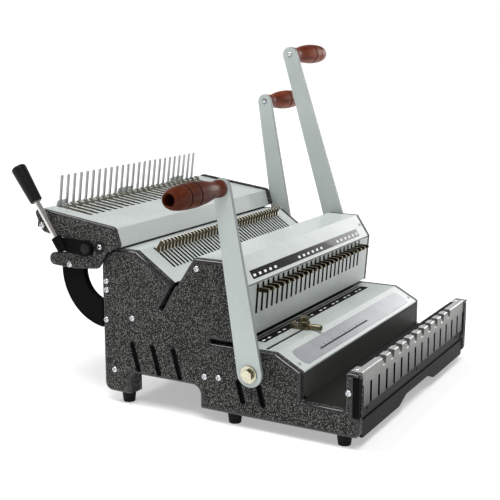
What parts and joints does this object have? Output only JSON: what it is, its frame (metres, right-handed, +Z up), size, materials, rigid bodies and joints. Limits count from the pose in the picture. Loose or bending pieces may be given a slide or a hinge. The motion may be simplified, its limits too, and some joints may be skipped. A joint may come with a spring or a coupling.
{
  "type": "comb and wire binding machine",
  "caption": "Desk binding machine: side plates carry a comb punch, a sloped wire punch, a wire closer and a comb opener, each worked by its own hand lever, with a chip drawer below.",
  "frame": {"origin": "centre of the overall box, on the surface that the feet stand on", "axes": "+X across the machine to the operator's right, -Y towards the operator, +Z up"},
  "size_m": [0.6792, 0.5074, 0.4788],
  "materials": {
    "hammertone": "dark grey hammered paint, glossy, lighter flecks",
    "cover_paint": "pale grey-green satin paint on bent sheet",
    "lever_paint": "pale grey-green satin paint on flat bar",
    "dark_paint": "satin black paint",
    "steel": "ground steel",
    "zinc": "bright zinc plate",
    "yellow_zinc": "yellow passivated zinc plate",
    "brass": "tarnished brass, bright on rubbed edges",
    "aluminium": "milled bar, fine tool lines",
    "wood": "turned red-brown hardwood, clear gloss lacquer",
    "black_grip": "black moulded plastic",
    "chrome": "bright chrome plate",
    "rubber": "black moulded rubber"
  },
  "bodies": {
    "frame": {"left_side_plate": "hammertone", "right_side_plate": "hammertone", "base_pan": "dark_paint", "rear_panel": "dark_paint", "tie_bars": "steel", "chip_chute": "steel", "table_cover": "cover_paint", "front_face_plate": "cover_paint", "hump_cover": "cover_paint", "slope_plate": "cover_paint", "front_die": "steel", "front_guide": "steel", "rear_die": "steel", "rear_guide": "steel", "shaft_bushes": "brass", "frame_screws": "zinc", "feet": "rubber", "trough_floor": "dark_paint", "closer_rail": "dark_paint", "closer_bar": "aluminium", "unit_left_plate": "hammertone", "unit_right_plate": "hammertone", "unit_cover": "cover_paint", "unit_tie_bar": "steel", "finger_bar": "steel", "comb_fingers": "steel", "support_brackets": "dark_paint", "comb_bushes": "brass"},
    "front_lever_set": {"front_shaft": "steel", "front_lever": "lever_paint", "front_pivot_bolt": "yellow_zinc", "front_handle": "wood", "front_handle_bolt": "zinc"},
    "front_punch_set": {"front_punch_bar": "steel", "front_pins": "steel", "front_pulls": "brass"},
    "rear_lever_set": {"rear_shaft": "steel", "rear_lever": "lever_paint", "rear_pivot_bolt": "yellow_zinc", "rear_handle": "wood", "rear_handle_bolt": "zinc"},
    "rear_punch_set": {"rear_punch_bar": "steel", "rear_pins": "steel", "rear_pulls": "brass"},
    "closer_lever_set": {"closer_shaft": "steel", "closer_lever": "lever_paint", "closer_pivot_bolt": "yellow_zinc", "closer_handle": "wood", "closer_handle_bolt": "zinc"},
    "closer_jaw_set": {"closer_jaw": "dark_paint"},
    "comb_lever_set": {"comb_shaft": "steel", "comb_arm": "dark_paint", "comb_rod": "chrome", "comb_grip": "black_grip"},
    "comb_hook_set": {"comb_carriage": "steel", "comb_hooks": "steel"},
    "edge_guide_set": {"edge_guide": "brass"},
    "guide_knob_set": {"guide_knob": "brass"},
    "chip_drawer": {"drawer_tray": "steel", "drawer_front": "dark_paint"}
  },
  "joints": [
    {"name": "front_lever_swing", "type": "hinge", "parent": "frame", "child": "front_lever_set", "pos_m": [0, -0.04324, 0.1505], "axis": [1, 0, 0], "range_deg": [0, 75]},
    {"name": "front_punch_slide", "type": "slide", "parent": "frame", "child": "front_punch_set", "axis": [0, 0, -1], "range_m": [0, 0.01836]},
    {"name": "rear_lever_swing", "type": "hinge", "parent": "frame", "child": "rear_lever_set", "pos_m": [0, 0.06654, 0.15808], "axis": [1, 0, 0], "range_deg": [0, 75]},
    {"name": "rear_punch_slide", "type": "slide", "parent": "frame", "child": "rear_punch_set", "axis": [0, -0.866, -0.5], "range_m": [0, 0.01836]},
    {"name": "closer_lever_swing", "type": "hinge", "parent": "frame", "child": "closer_lever_set", "pos_m": [0, -0.11274, 0.08], "axis": [1, 0, 0], "range_deg": [0, 80]},
    {"name": "closer_jaw_slide", "type": "slide", "parent": "frame", "child": "closer_jaw_set", "axis": [0, -1, 0], "range_m": [0, 0.01938]},
    {"name": "comb_lever_swing", "type": "hinge", "parent": "frame", "child": "comb_lever_set", "pos_m": [0, 0.13806, 0.21268], "axis": [1, 0, 0], "range_deg": [0, 70]},
    {"name": "comb_hook_slide", "type": "slide", "parent": "frame", "child": "comb_hook_set", "axis": [0, -0.9914, -0.1305], "range_m": [0, 0.02534]},
    {"name": "edge_guide_slide", "type": "slide", "parent": "frame", "child": "edge_guide_set", "axis": [-1, 0, 0], "range_m": [0, 0.075]},
    {"name": "guide_knob_turn", "type": "hinge", "parent": "edge_guide_set", "child": "guide_knob_set", "pos_m": [-0.09, -0.12174, 0.115], "axis": [0, 0, 1], "continuous": true},
    {"name": "chip_drawer_slide", "type": "slide", "parent": "frame", "child": "chip_drawer", "axis": [0, -1, 0], "range_m": [0, 0.18]}
  ],
  "couplings": [
    {"joint": "front_punch_slide", "follows": "front_lever_swing", "m_per_rad": 0.013952},
    {"joint": "rear_punch_slide", "follows": "rear_lever_swing", "m_per_rad": 0.013952},
    {"joint": "closer_jaw_slide", "follows": "closer_lever_swing", "m_per_rad": 0.013811},
    {"joint": "comb_hook_slide", "follows": "comb_lever_swing", "m_per_rad": 0.020657}
  ]
}
